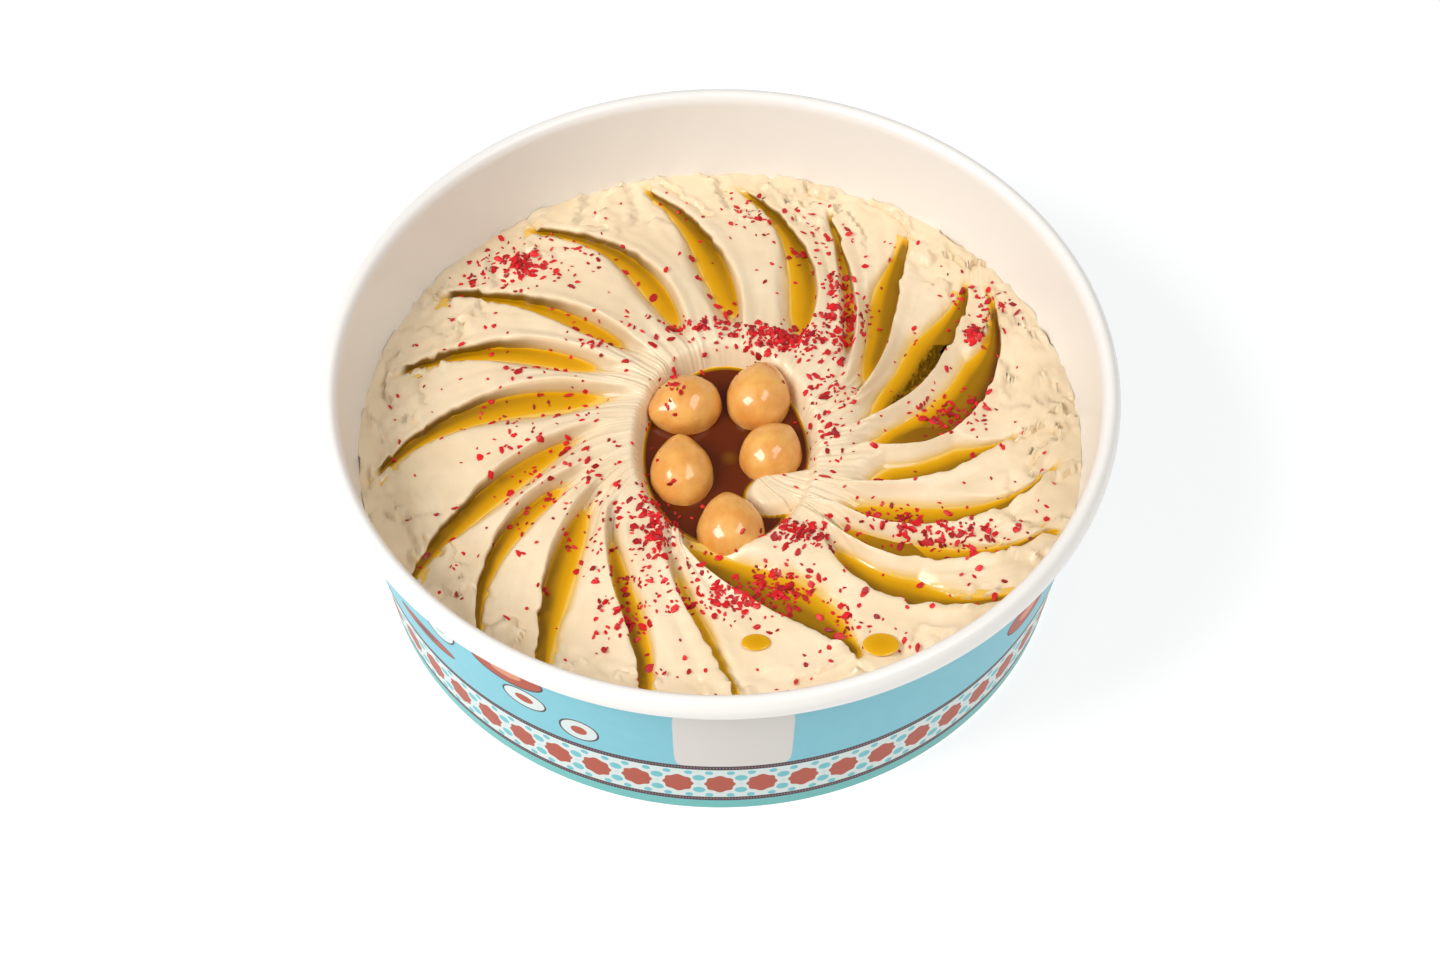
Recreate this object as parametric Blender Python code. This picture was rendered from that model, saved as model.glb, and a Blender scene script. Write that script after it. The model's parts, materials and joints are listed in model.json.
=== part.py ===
"""A tub of hummus: a round paper tub filled with swirled hummus, with olive oil and chickpeas on top.

The tub stands on its bottom edge at z = 0 with its axis on Z. The front of the tub faces -Y.
"""
import math
from collections import namedtuple

import bmesh
import bpy
from mathutils import Euler, Vector

MM = 0.001
GAP = 0.3 * MM                      # left between pieces that touch

# The tub: one board wrapped into a cone, its top edge rolled outward, its bottom edge folded in
# round the skirt of a flat disc.
RIM_RADIUS = 75.0 * MM
TUB_HEIGHT = 47.0 * MM
FOOT_RADIUS = 65.0 * MM
BOARD = 0.6 * MM
BEAD_WIDTH = 3.7 * MM
BEAD_HEIGHT = 5.5 * MM
BEAD_TURN = 305.0                   # degrees that the rolled edge is turned through
HEM_HEIGHT = 5.0 * MM
DISC_TOP = 6.2 * MM
SKIRT_FOOT = 1.2 * MM
TURNED_STEPS = 48

# The hummus: its surface is highest on the ring round the well and lowest at the wall.
WALL_LEVEL = 27.8 * MM
RING_LEVEL = 30.6 * MM
RING_RADIUS = 27.0 * MM
WELL_FLOOR = 19.5 * MM
WELL_CENTRE = Vector((1.1 * MM, -1.9 * MM))
WELL_HALF_WIDTH = 15.5 * MM
WELL_HALF_LENGTH = 21.5 * MM
TONGUE_TIP = Vector((9.5 * MM, -11.8 * MM))
TONGUE_ROOT = Vector((22.0 * MM, -9.5 * MM))
TONGUE_HALF_WIDTH = 4.8 * MM
TONGUE_LEVEL = 28.5 * MM

# The spoon strokes, like the blades of a pinwheel. Each has its bearing in degrees near the wall
# and beside the ring, how far it bows between, and in millimetres where its groove ends outside
# and inside, how wide the groove is, the height of its floor and how deep the oil in it is.
OUTER_STATION = 62.0 * MM
INNER_STATION = 30.0 * MM
Stroke = namedtuple("Stroke", "wall ring bow outer inner wide floor oil",
                    defaults=(0.0, 66.0, 22.0, 6.0, 25.9, 1.8))
STROKES = (
    Stroke(-176, -202, bow=-2, outer=67, inner=14, wide=9.5),
    Stroke(-153, -178, bow=1, outer=69, inner=18, wide=8),
    Stroke(-136, -160, bow=-3, outer=69, wide=5, oil=1.7),
    Stroke(-122, -147, bow=1, outer=69, inner=20, wide=8.5, oil=1.9),
    Stroke(-103, -132, bow=6, outer=68, wide=6),
    Stroke(-86, -107, bow=3, outer=62, wide=3.5, floor=27.2, oil=0.7),
    Stroke(-62, -96, bow=8, outer=58, inner=19, wide=17, floor=25.4, oil=2.4),
    Stroke(-38, -49, bow=-7, outer=67, inner=26, wide=11, oil=2.0),
    Stroke(-23, -43, bow=-5, outer=68, wide=8),
    Stroke(-8, -34, bow=-5, outer=65, inner=20, wide=9, oil=1.9),
    Stroke(6, -20, bow=-1, outer=57, inner=24, wide=11, floor=25.7, oil=2.2),
    Stroke(30, -2, bow=-9, outer=65, wide=20, floor=25.0, oil=2.8),
    Stroke(39, 12, bow=-1, outer=63, wide=12, floor=25.6, oil=2.2),
    Stroke(54, 26, bow=3.5, outer=64, inner=24, wide=8, oil=2.0),
    Stroke(70, 38, bow=3, outer=63, inner=24, wide=3, floor=27.0, oil=0.6),
    Stroke(84, 59.5, bow=-4, outer=65, wide=8),
    Stroke(100.5, 84.5, bow=-2, outer=67, wide=8),
    Stroke(122, 106, bow=-4.5, outer=67, inner=20, wide=6, oil=1.7),
    Stroke(144.5, 128.5, bow=-2, outer=66, inner=20, wide=4.5, oil=1.5),
    Stroke(163.5, 143, bow=-3, outer=65, inner=20, wide=6.5, oil=1.6),
)
LIP = 1.9 * MM                      # from a groove's line back to the lip that stands over it
CLIFF_FOOT = 0.5 * MM               # and back to the foot of the steep side under that lip
LIP_RISE = 0.6 * MM
GROOVE_SLOPE = 0.035                # a groove's floor falls toward the wall
GRID_RADII = [radius * MM for radius in
              (66, 63.5, 60, 55, 49, 43, 37, 32, 28, 24, 19, 12, 0)]

# The oil in the well, and the chickpeas that stand in it.
WELL_OIL_LEVEL = 26.0 * MM
Pea = namedtuple("Pea", "x y z turn tilt size length")
CHICKPEAS = (
    Pea(-6.4, 9.4, 26.6, turn=200, tilt=10, size=6.2, length=6.8),
    Pea(7.4, 10.9, 27.0, turn=80, tilt=20, size=6.1, length=6.8),
    Pea(-7.2, -6.8, 26.2, turn=95, tilt=12, size=6.0, length=7.3),
    Pea(9.6, -2.4, 26.2, turn=60, tilt=15, size=5.9, length=6.2),
    Pea(2.0, -20.8, 26.4, turn=100, tilt=25, size=6.4, length=7.0),
)
PEA_BEAK = 1.0                      # how far the beak stands out, in millimetres
PEA_CREASE = 0.35

HUMMUS_COLOR = (0.90, 0.76, 0.55)
OIL_COLOR = (0.56, 0.34, 0.02)
PEA_COLOR = (0.80, 0.50, 0.19)
PAPER_COLOR = (0.90, 0.88, 0.84)


def material(name, color, roughness):
    """A plain finish in one colour."""
    finish = bpy.data.materials.new(name)
    finish.use_nodes = True
    shader = finish.node_tree.nodes["Principled BSDF"]
    shader.inputs["Base Color"].default_value = (*color, 1.0)
    shader.inputs["Roughness"].default_value = roughness
    shader.inputs["Metallic"].default_value = 0.0
    return finish


def add_object(name, mesh_builder, finish, smooth_degrees=35.0):
    """Makes an object of a closed bmesh, with one finish."""
    mesh = bpy.data.meshes.new(name)
    mesh_builder.to_mesh(mesh)
    mesh_builder.free()
    mesh.materials.append(finish)
    mesh.shade_smooth()
    mesh.set_sharp_from_angle(angle=math.radians(smooth_degrees))
    item = bpy.data.objects.new(name, mesh)
    bpy.context.collection.objects.link(item)
    return item


def turned(name, outline, finish):
    """Spins a closed outline of (radius, height) points round the tub's axis."""
    builder = bmesh.new()
    corners = [builder.verts.new((radius, 0.0, height)) for radius, height in outline]
    edges = [builder.edges.new((corner, corners[index - 1])) for index, corner in enumerate(corners)]
    bmesh.ops.spin(builder, geom=corners + edges, cent=(0, 0, 0), axis=(0, 0, 1),
                   angle=math.tau, steps=TURNED_STEPS, use_merge=True)
    bmesh.ops.remove_doubles(builder, verts=builder.verts, dist=0.01 * MM)
    bmesh.ops.recalc_face_normals(builder, faces=builder.faces)
    return add_object(name, builder, finish)


def smooth(value):
    """Eases from 0 to 1 as the value goes from 0 to 1."""
    value = min(max(value, 0.0), 1.0)
    return value * value * (3.0 - 2.0 * value)


# ---------------------------------------------------------------- tub

def wall_outside(height):
    """Radius of the wall's outer face."""
    bead_middle = TUB_HEIGHT - BEAD_HEIGHT / 2
    top_radius = RIM_RADIUS - BEAD_WIDTH + BOARD
    return FOOT_RADIUS + (top_radius - FOOT_RADIUS) * height / bead_middle


def wall_inside(height):
    """Radius of the wall's inner face."""
    return wall_outside(height) - BOARD


def bead_arc(inset, steps=7):
    """Points of the rolled edge, from the wall's inner face over the top and round underneath."""
    points = []
    for step in range(steps + 1):
        angle = math.radians(180.0 - BEAD_TURN * step / steps)
        points.append((RIM_RADIUS - BEAD_WIDTH / 2 + (BEAD_WIDTH / 2 - inset) * math.cos(angle),
                       TUB_HEIGHT - BEAD_HEIGHT / 2 + (BEAD_HEIGHT / 2 - inset) * math.sin(angle)))
    return points


def tub_wall(finish):
    """The side board: its fold at the bottom leaves a slot for the disc's skirt."""
    slot = BOARD + 2 * GAP
    hem_inside = wall_inside(0.0) - slot - BOARD
    lean = wall_outside(HEM_HEIGHT) - wall_outside(0.0)
    bottom_fold = 0.4 * MM
    outline = bead_arc(inset=0.0) + bead_arc(inset=BOARD)[::-1]
    outline += [(wall_outside(bottom_fold), bottom_fold),
                (FOOT_RADIUS - bottom_fold, 0.0),
                (hem_inside + bottom_fold, 0.0),
                (hem_inside, bottom_fold),
                (hem_inside + lean, HEM_HEIGHT),
                (hem_inside + BOARD + lean, HEM_HEIGHT),
                (hem_inside + BOARD, BOARD),
                (wall_inside(BOARD), BOARD)]
    return turned("tub_wall", outline, finish)


def tub_base(finish):
    """The flat disc, with a skirt that hangs in the fold of the side board."""
    skirt_inset = GAP + BOARD
    outline = [(0.0, DISC_TOP),
               (wall_inside(DISC_TOP) - GAP, DISC_TOP),
               (wall_inside(SKIRT_FOOT) - GAP, SKIRT_FOOT),
               (wall_inside(SKIRT_FOOT) - skirt_inset, SKIRT_FOOT),
               (wall_inside(DISC_TOP - BOARD) - skirt_inset, DISC_TOP - BOARD),
               (0.0, DISC_TOP - BOARD)]
    return turned("tub_base", outline, finish)


# ---------------------------------------------------------------- hummus

def stroke_bearing(stroke, radius):
    """Bearing of a stroke's groove at a radius, in degrees."""
    travel = (radius - INNER_STATION) / (OUTER_STATION - INNER_STATION)
    travel = min(max(travel, -0.5), 1.15)
    middle = 4.0 * travel * (1.0 - travel)
    return stroke.ring + (stroke.wall - stroke.ring) * travel + stroke.bow * max(middle, -0.3)


def pitch(index, radius):
    """Distance round from one groove's line to the next."""
    following = STROKES[(index + 1) % len(STROKES)]
    turn = (stroke_bearing(following, radius) - stroke_bearing(STROKES[index % len(STROKES)], radius)) % 360.0
    return math.radians(turn) * radius


def groove_depth(stroke, radius, level):
    """Depth of a groove's floor under the untouched level; it runs out at both ends."""
    travel = (radius / MM - stroke.inner) / (stroke.outer - stroke.inner)
    floor = stroke.floor * MM - GROOVE_SLOPE * (radius - 46.0 * MM)
    return max(level - floor, 0.0) * smooth(travel / 0.32) * smooth((1.0 - travel) / 0.1)


def groove_width(stroke, radius):
    """Width of a groove, which narrows toward both ends."""
    travel = (radius / MM - stroke.inner) / (stroke.outer - stroke.inner)
    inward = 0.3 + 0.7 * smooth(travel / 0.45)
    outward = 0.08 + 0.92 * smooth((1.0 - travel) / 0.6)
    return stroke.wide * MM * inward * outward


def untouched_level(x, y):
    """Height of the hummus before the strokes: a low dome with a ring and a well at its middle."""
    radius = math.hypot(x, y)
    wall = wall_inside(WALL_LEVEL)
    dome = math.cos(math.pi / 2 * min(max(radius - RING_RADIUS, 0.0) / (wall - RING_RADIUS), 1.0))
    level = WALL_LEVEL + (RING_LEVEL - WALL_LEVEL) * dome
    reach = math.hypot((x - WELL_CENTRE.x) / WELL_HALF_WIDTH, (y - WELL_CENTRE.y) / WELL_HALF_LENGTH)
    level = WELL_FLOOR + (level - WELL_FLOOR) * smooth((reach - 0.75) / 0.5)
    along = TONGUE_ROOT - TONGUE_TIP
    share = min(max((Vector((x, y)) - TONGUE_TIP).dot(along) / along.length_squared, 0.0), 1.0)
    beside = (Vector((x, y)) - TONGUE_TIP - along * share).length / TONGUE_HALF_WIDTH
    return max(level, WELL_FLOOR + (TONGUE_LEVEL - WELL_FLOOR) * smooth(1.6 - beside))


def stations(index, radius):
    """Distances round from a groove's line: its slope, the petal's lip and the cliff's foot."""
    room = pitch(index, radius)
    lip = min(LIP, 0.3 * room)
    width = min(groove_width(STROKES[index], radius), 0.85 * (room - lip))
    return 0.0, 0.45 * width, width, room - lip, room - min(CLIFF_FOOT, 0.1 * room)


def hummus_point(radius, index, beyond, lift=0.0):
    """A point of the hummus' surface, a distance round from one groove's line."""
    stroke = STROKES[index % len(STROKES)]
    following = STROKES[(index + 1) % len(STROKES)]
    bearing = math.radians(stroke_bearing(stroke, radius)) + beyond / max(radius, 1.0 * MM)
    x = radius * math.cos(bearing)
    y = radius * math.sin(bearing)
    level = untouched_level(x, y)
    room = pitch(index, radius)
    before = room - beyond
    next_depth = groove_depth(following, radius, level)
    crest = smooth(1.0 - abs(before - LIP) / (2.4 * MM)) * smooth(next_depth / (2.0 * MM)) * LIP_RISE
    if before >= LIP - 0.01 * MM:
        width = max(min(groove_width(stroke, radius), room - LIP), 0.1 * MM)
        valley = max(1.0 - (max(beyond, 0.0) / width) ** 2, 0.0) ** 1.25
        petal = max(1.0 - max(beyond, 0.0) / max(room - LIP, 0.1 * MM), 0.0) ** 1.2
        hollow = groove_depth(stroke, radius, level) * (0.82 * valley + 0.18 * petal)
    else:
        hollow = next_depth * smooth((LIP - before) / (LIP - CLIFF_FOOT))
    return Vector((x, y, level - hollow + crest + lift))


def hummus_solid(name, finish, lift=0.0):
    """One grid rolled round the axis: base, side and surface, its columns along the strokes."""
    side = GAP + 0.1 * MM
    columns = [(index, place) for index in range(len(STROKES)) for place in range(5)]
    rows = len(GRID_RADII) + 2
    builder = bmesh.new()
    bmesh.ops.create_grid(builder, x_segments=len(columns), y_segments=rows, size=0.5)
    for corner in builder.verts:
        index, place = columns[round((corner.co.x + 0.5) * len(columns)) % len(columns)]
        row = round((corner.co.y + 0.5) * rows)
        if row > 2:
            radius = GRID_RADII[row - 3]
            corner.co = hummus_point(radius, index, stations(index, radius)[place], lift)
            continue
        floor = DISC_TOP + GAP
        edge = wall_inside(WALL_LEVEL) - side if row == 2 else wall_inside(floor) - side
        corner.co = hummus_point(edge, index, pitch(index, edge) * place / 5)
        corner.co.z = (floor, floor, WALL_LEVEL + lift)[row]
        if row == 0:
            corner.co = (0.0, 0.0, floor)
    bmesh.ops.remove_doubles(builder, verts=builder.verts, dist=0.01 * MM)
    bmesh.ops.recalc_face_normals(builder, faces=builder.faces)
    bmesh.ops.triangulate(builder, faces=builder.faces, quad_method="FIXED")
    return add_object(name, builder, finish, smooth_degrees=50.0)


# ---------------------------------------------------------------- chickpeas

def chickpea(name, pea, finish, grow=0.0):
    """A round seed with a beak at one end and a shallow crease down from it."""
    builder = bmesh.new()
    bmesh.ops.create_uvsphere(builder, u_segments=12, v_segments=8, radius=1.0)
    turn = Euler((0.0, math.radians(90.0 - pea.tilt), math.radians(pea.turn))).to_matrix()
    for corner in builder.verts:
        way = corner.co.normalized()
        beak = max(way.z, 0.0) ** 6 * PEA_BEAK
        crease = max(0.0, 1.0 - abs(way.y) * 3.0) * max(way.x, 0.0) * PEA_CREASE
        size = pea.size + grow / MM
        length = pea.length + grow / MM
        local = Vector((way.x * (size - crease), way.y * size, way.z * length + beak))
        corner.co = turn @ (local * MM) + Vector((pea.x, pea.y, pea.z)) * MM
    return add_object(name, builder, finish)


# ---------------------------------------------------------------- oil

def cut(target, cutter):
    """Takes the cutter's space out of the target, and removes the cutter."""
    modifier = target.modifiers.new("cut", "BOOLEAN")
    modifier.operation = "DIFFERENCE"
    modifier.solver = "EXACT"
    modifier.object = cutter
    evaluated = target.evaluated_get(bpy.context.evaluated_depsgraph_get())
    mesh = bpy.data.meshes.new_from_object(evaluated)
    target.modifiers.remove(modifier)
    target.data = mesh


def keep_largest_body(item):
    """Removes the small separate slivers that a cut leaves."""
    builder = bmesh.new()
    builder.from_mesh(item.data)
    bodies = []
    waiting = set(builder.verts)
    while waiting:
        body = set()
        front = [waiting.pop()]
        while front:
            corner = front.pop()
            body.add(corner)
            linked = {edge.other_vert(corner) for edge in corner.link_edges} & waiting
            waiting -= linked
            front.extend(linked)
        bodies.append(body)
    for body in sorted(bodies, key=len)[:-1]:
        bmesh.ops.delete(builder, geom=list(body), context="VERTS")
    bmesh.ops.triangulate(builder, faces=builder.faces)
    builder.to_mesh(item.data)
    builder.free()


def oil_block(name, stations, top, depth, finish):
    """A closed block between two lines of points and two heights, for the oil to be cut from."""
    builder = bmesh.new()
    ring = [builder.verts.new((x, y, top)) for x, y in stations]
    face = builder.faces.new(ring)
    block = bmesh.ops.extrude_face_region(builder, geom=[face])
    lowered = [item for item in block["geom"] if isinstance(item, bmesh.types.BMVert)]
    bmesh.ops.translate(builder, verts=lowered, vec=(0.0, 0.0, -depth))
    bmesh.ops.recalc_face_normals(builder, faces=builder.faces)
    return add_object(name, builder, finish)


def groove_oil(index, finish, seat, pea_seats):
    """The oil that lies in one stroke's groove, level on top, cut round any chickpea in it."""
    stroke = STROKES[index]
    inner = stroke.inner + 5.5
    reach = min(stroke.outer, 67.5) - inner
    radii = [(inner + reach * step / 8) * MM for step in range(9)]
    steep_side = [hummus_point(radius, index - 1, pitch(index - 1, radius) - 1.1 * MM) for radius in radii]
    gentle_side = [hummus_point(radius, index, stations(index, radius)[2]) for radius in reversed(radii)]
    outline = [(point.x, point.y) for point in steep_side + gentle_side]
    pool = oil_block(f"oil_{index + 1:02d}", outline, (stroke.floor + stroke.oil) * MM, 8.0 * MM, finish)
    for seat_piece in (seat, *pea_seats):
        cut(pool, seat_piece)
    keep_largest_body(pool)
    return pool


def well_oil(finish, seat, pea_seats):
    """The oil in the well, cut round the chickpeas."""
    outline = []
    for step in range(28):
        angle = math.tau * step / 28
        outline.append((WELL_CENTRE.x + 1.2 * WELL_HALF_WIDTH * math.cos(angle),
                        WELL_CENTRE.y + 1.2 * WELL_HALF_LENGTH * math.sin(angle)))
    pool = oil_block("oil_well", outline, WELL_OIL_LEVEL, 12.0 * MM, finish)
    for seat_piece in (seat, *pea_seats):
        cut(pool, seat_piece)
    keep_largest_body(pool)
    return pool


def main():
    for item in list(bpy.data.objects):
        bpy.data.objects.remove(item)
    paper = material("paper", PAPER_COLOR, 0.5)
    cream = material("hummus", HUMMUS_COLOR, 0.45)
    oil = material("oil", OIL_COLOR, 0.05)
    pea_skin = material("chickpea", PEA_COLOR, 0.3)
    tub_wall(paper)
    tub_base(paper)
    hummus = hummus_solid("hummus", cream)
    seat = hummus_solid("oil_seat", cream, lift=GAP)
    pea_seats = []
    for index, pea in enumerate(CHICKPEAS):
        chickpea(f"chickpea_{index + 1}", pea, pea_skin)
        pea_seat = chickpea(f"pea_seat_{index + 1}", pea, pea_skin, grow=GAP)
        cut(hummus, pea_seat)
        pea_seats.append(pea_seat)
    keep_largest_body(hummus)
    for index in range(len(STROKES)):
        groove_oil(index, oil, seat, pea_seats)
    well_oil(oil, seat, pea_seats)
    for cutter in (seat, *pea_seats):
        bpy.data.objects.remove(cutter)


main()
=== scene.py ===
import json
import math
import random
from collections import namedtuple

import bmesh
import bpy
from mathutils import Euler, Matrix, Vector, noise
from mathutils.bvhtree import BVHTree

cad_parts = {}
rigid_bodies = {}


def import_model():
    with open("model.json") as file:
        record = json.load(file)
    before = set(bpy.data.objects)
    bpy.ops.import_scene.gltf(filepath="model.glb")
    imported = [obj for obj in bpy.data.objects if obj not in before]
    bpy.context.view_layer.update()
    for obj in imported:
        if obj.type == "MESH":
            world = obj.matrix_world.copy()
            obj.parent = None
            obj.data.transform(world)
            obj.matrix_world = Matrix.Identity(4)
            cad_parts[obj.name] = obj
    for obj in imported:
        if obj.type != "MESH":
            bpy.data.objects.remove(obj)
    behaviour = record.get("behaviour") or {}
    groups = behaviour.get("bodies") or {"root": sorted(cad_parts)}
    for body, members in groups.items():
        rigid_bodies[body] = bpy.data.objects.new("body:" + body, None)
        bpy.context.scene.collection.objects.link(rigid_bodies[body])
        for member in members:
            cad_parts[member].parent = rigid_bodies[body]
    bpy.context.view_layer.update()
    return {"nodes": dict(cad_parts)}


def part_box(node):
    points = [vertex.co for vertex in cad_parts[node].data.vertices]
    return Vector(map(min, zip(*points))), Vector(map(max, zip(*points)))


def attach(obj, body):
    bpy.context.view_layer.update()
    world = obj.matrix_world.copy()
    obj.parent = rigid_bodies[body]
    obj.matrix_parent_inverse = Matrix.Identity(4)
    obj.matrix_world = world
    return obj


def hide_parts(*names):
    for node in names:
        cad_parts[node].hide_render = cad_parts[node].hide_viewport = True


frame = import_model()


# ---- Side board ------------------------------------------------------------------------------
# One sheet of coated white board, wrapped into a cone and glued at the back. Its top edge is
# rolled outward into a bead, its bottom edge is folded in round the skirt of the disc, and its
# outer face is printed before it is wrapped.

MM = 0.001


class Field:
    """A value that changes over a surface, written in sums as if it were a number."""

    def __init__(self, finish, socket):
        self.finish = finish
        self.socket = socket

    def math(self, operation, *values):
        return self.finish.node("ShaderNodeMath", {"operation": operation}, dict(enumerate(values)))

    def __add__(self, other):
        return self.math("ADD", self, other)

    def __sub__(self, other):
        return self.math("SUBTRACT", self, other)

    def __rsub__(self, other):
        return self.math("SUBTRACT", other, self)

    def __mul__(self, other):
        return self.math("MULTIPLY", self, other)

    def __truediv__(self, other):
        return self.math("DIVIDE", self, other)

    def __pow__(self, other):
        return self.math("POWER", self, other)

    def __abs__(self):
        return self.math("ABSOLUTE", self)

    __radd__ = __add__
    __rmul__ = __mul__

    def eased(self, low, high):
        """0 below low, 1 above high, and a soft step between them; low may be the larger."""
        return self.finish.node("ShaderNodeMapRange", {"interpolation_type": "SMOOTHSTEP"},
                                {0: self, 1: low, 2: high})


class Finish:
    """A material, with the nodes that vary it."""

    def __init__(self, name, color, roughness, **constants):
        self.material = bpy.data.materials.new(name)
        self.material.use_nodes = True
        self.tree = self.material.node_tree
        self.shader = self.tree.nodes["Principled BSDF"]
        self.shader.inputs["Base Color"].default_value = screen_color(color)
        self.shader.inputs["Roughness"].default_value = roughness
        for socket, value in constants.items():
            self.shader.inputs[socket.replace("_", " ")].default_value = value

    def node(self, kind, settings=None, inputs=None, output=0):
        """Adds a node with its settings and its sockets' values or links; gives one output."""
        made = self.tree.nodes.new(kind)
        for setting, value in (settings or {}).items():
            setattr(made, setting, value)
        for socket, value in (inputs or {}).items():
            if isinstance(value, Field):
                self.tree.links.new(value.socket, made.inputs[socket])
            else:
                made.inputs[socket].default_value = value
        return Field(self, made.outputs[output])

    def place(self):
        """Millimetres along X, Y and Z."""
        place = self.node("ShaderNodeTexCoord", output="Object")
        return [self.node("ShaderNodeSeparateXYZ", inputs={0: place}, output=axis) / MM for axis in range(3)]

    def cloud(self, size, detail=2.0, stretch=(1.0, 1.0, 1.0)):
        """Soft noise from 0 to 1 whose blots are about a size in millimetres across."""
        place = self.node("ShaderNodeTexCoord", output="Object")
        placed = self.node("ShaderNodeMapping", inputs={"Vector": place, "Scale": stretch})
        return self.node("ShaderNodeTexNoise",
                         inputs={"Vector": placed, "Scale": 1.0 / (size * MM), "Detail": detail})

    def blend(self, share, first, second):
        """A colour between two colours, each a colour field or screen values."""
        sockets = {0: share, 6: first, 7: second}
        for socket in (6, 7):
            if not isinstance(sockets[socket], Field):
                sockets[socket] = screen_color(sockets[socket])
        return self.node("ShaderNodeMix", {"data_type": "RGBA"}, sockets, output=2)

    def feed(self, socket, field):
        self.tree.links.new(field.socket, self.shader.inputs[socket])

    def bump(self, height, millimetres):
        """Raises the surface's shading by a height field."""
        bumped = self.node("ShaderNodeBump", inputs={"Height": height, "Distance": millimetres * MM,
                                                     "Strength": 1.0})
        self.feed("Normal", bumped)


def screen_color(values):
    """A colour as a screen shows it, from 0 to 255, turned to light."""
    return (*[(value / 255 / 12.92 if value < 10.3 else ((value / 255 + 0.055) / 1.055) ** 2.4)
              for value in values], 1.0)


def finished(name, builder, *finishes, sharp=40.0):
    """Makes a piece of a bmesh, smooth except at sharp edges."""
    mesh = bpy.data.meshes.new(name)
    builder.to_mesh(mesh)
    builder.free()
    for finish in finishes:
        mesh.materials.append(finish.material)
    mesh.shade_smooth()
    mesh.set_sharp_from_angle(angle=math.radians(sharp))
    piece = bpy.data.objects.new(name, mesh)
    bpy.context.collection.objects.link(piece)
    return piece


wall_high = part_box("tub_wall")[1]
RIM_RADIUS = wall_high.x
TUB_HEIGHT = wall_high.z
FOOT_RADIUS = 65.0 * MM
BOARD = 0.6 * MM
BEAD_WIDTH = 3.7 * MM
BEAD_HEIGHT = 5.5 * MM
BEAD_TURN = 305.0
HEM_HEIGHT = 5.0 * MM
FOLD = 0.4 * MM
SLOT = 1.2 * MM
ROUND_STEPS = 256
LEAN = (RIM_RADIUS - BEAD_WIDTH + BOARD - FOOT_RADIUS) / (TUB_HEIGHT - BEAD_HEIGHT / 2)


def wall_inside(height):
    """Radius of the board's inner face."""
    return FOOT_RADIUS + LEAN * height - BOARD


def bead_arc(inset, steps=22):
    """Points of the rolled edge, from the wall's inner face over the top and round underneath."""
    points = []
    for step in range(steps + 1):
        angle = math.radians(180.0 - BEAD_TURN * step / steps)
        points.append((RIM_RADIUS - BEAD_WIDTH / 2 + (BEAD_WIDTH / 2 - inset) * math.cos(angle),
                       TUB_HEIGHT - BEAD_HEIGHT / 2 + (BEAD_HEIGHT / 2 - inset) * math.sin(angle)))
    return points


white_board = Finish("white_board", (243, 239, 234), 0.38, Coat_Weight=0.25, Coat_Roughness=0.25)
fibre = white_board.cloud(1.5, detail=4.0)
soft_tone = white_board.cloud(35.0)
white_board.feed("Base Color", white_board.blend(soft_tone, (244, 240, 235), (240, 235, 228)))
white_board.feed("Roughness", 0.3 + 0.16 * fibre)
white_board.bump(fibre, 0.02)

# The print, in millimetres up the wall and degrees round from the front.
PRINT_TOP = 41.5
BAND_TOP = 15.6
BAND_FOOT = 5.2
FOOT_STRIPE_TOP = 3.3
PRINT_RADIUS = 69.0
ROSETTES = 54
ROSETTE_PITCH = 7.75
BLUE = (126, 198, 212)
TURQUOISE = (104, 186, 182)
PALE = (216, 226, 222)
MAROON = (52, 6, 20)
TERRACOTTA = (176, 64, 26)
PEACH = (215, 140, 105)
SEA_GREEN = (150, 205, 196)
DOT_BLUE = (104, 190, 198)
BARE_BOARD = (243, 239, 234)

printed_board = Finish("printed_board", BLUE, 0.4, Coat_Weight=0.1, Coat_Roughness=0.2,
                       Specular_IOR_Level=0.25)
x, y, height = printed_board.place()
around = x.math("ARCTAN2", x, 0.0 - y) * (180.0 / math.pi)
INK_EDGE = 0.08


def inked(distance, reach):
    """1 where a distance is under its reach, with the soft edge of ink on board."""
    return distance.eased(reach + INK_EDGE, reach - INK_EDGE)


def stripe(low, high):
    return inked(abs(height - (low + high) / 2), (high - low) / 2)


def oval(bearing, middle, half_width, half_height, power=2.0):
    """A field under 1 inside an oval round a bearing and a height."""
    across = abs((around - bearing) * (math.pi / 180.0 * PRINT_RADIUS / half_width))
    up = abs((height - middle) / half_height)
    return (across ** power + up ** power) ** (1.0 / power)


def shape(bearing, middle, half_width, half_height, power=2.0):
    return inked(oval(bearing, middle, half_width, half_height, power) * half_height, half_height)


tone = printed_board.cloud(3.0, detail=3.0)
color = printed_board.blend(tone, BLUE, (118, 191, 205))
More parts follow.
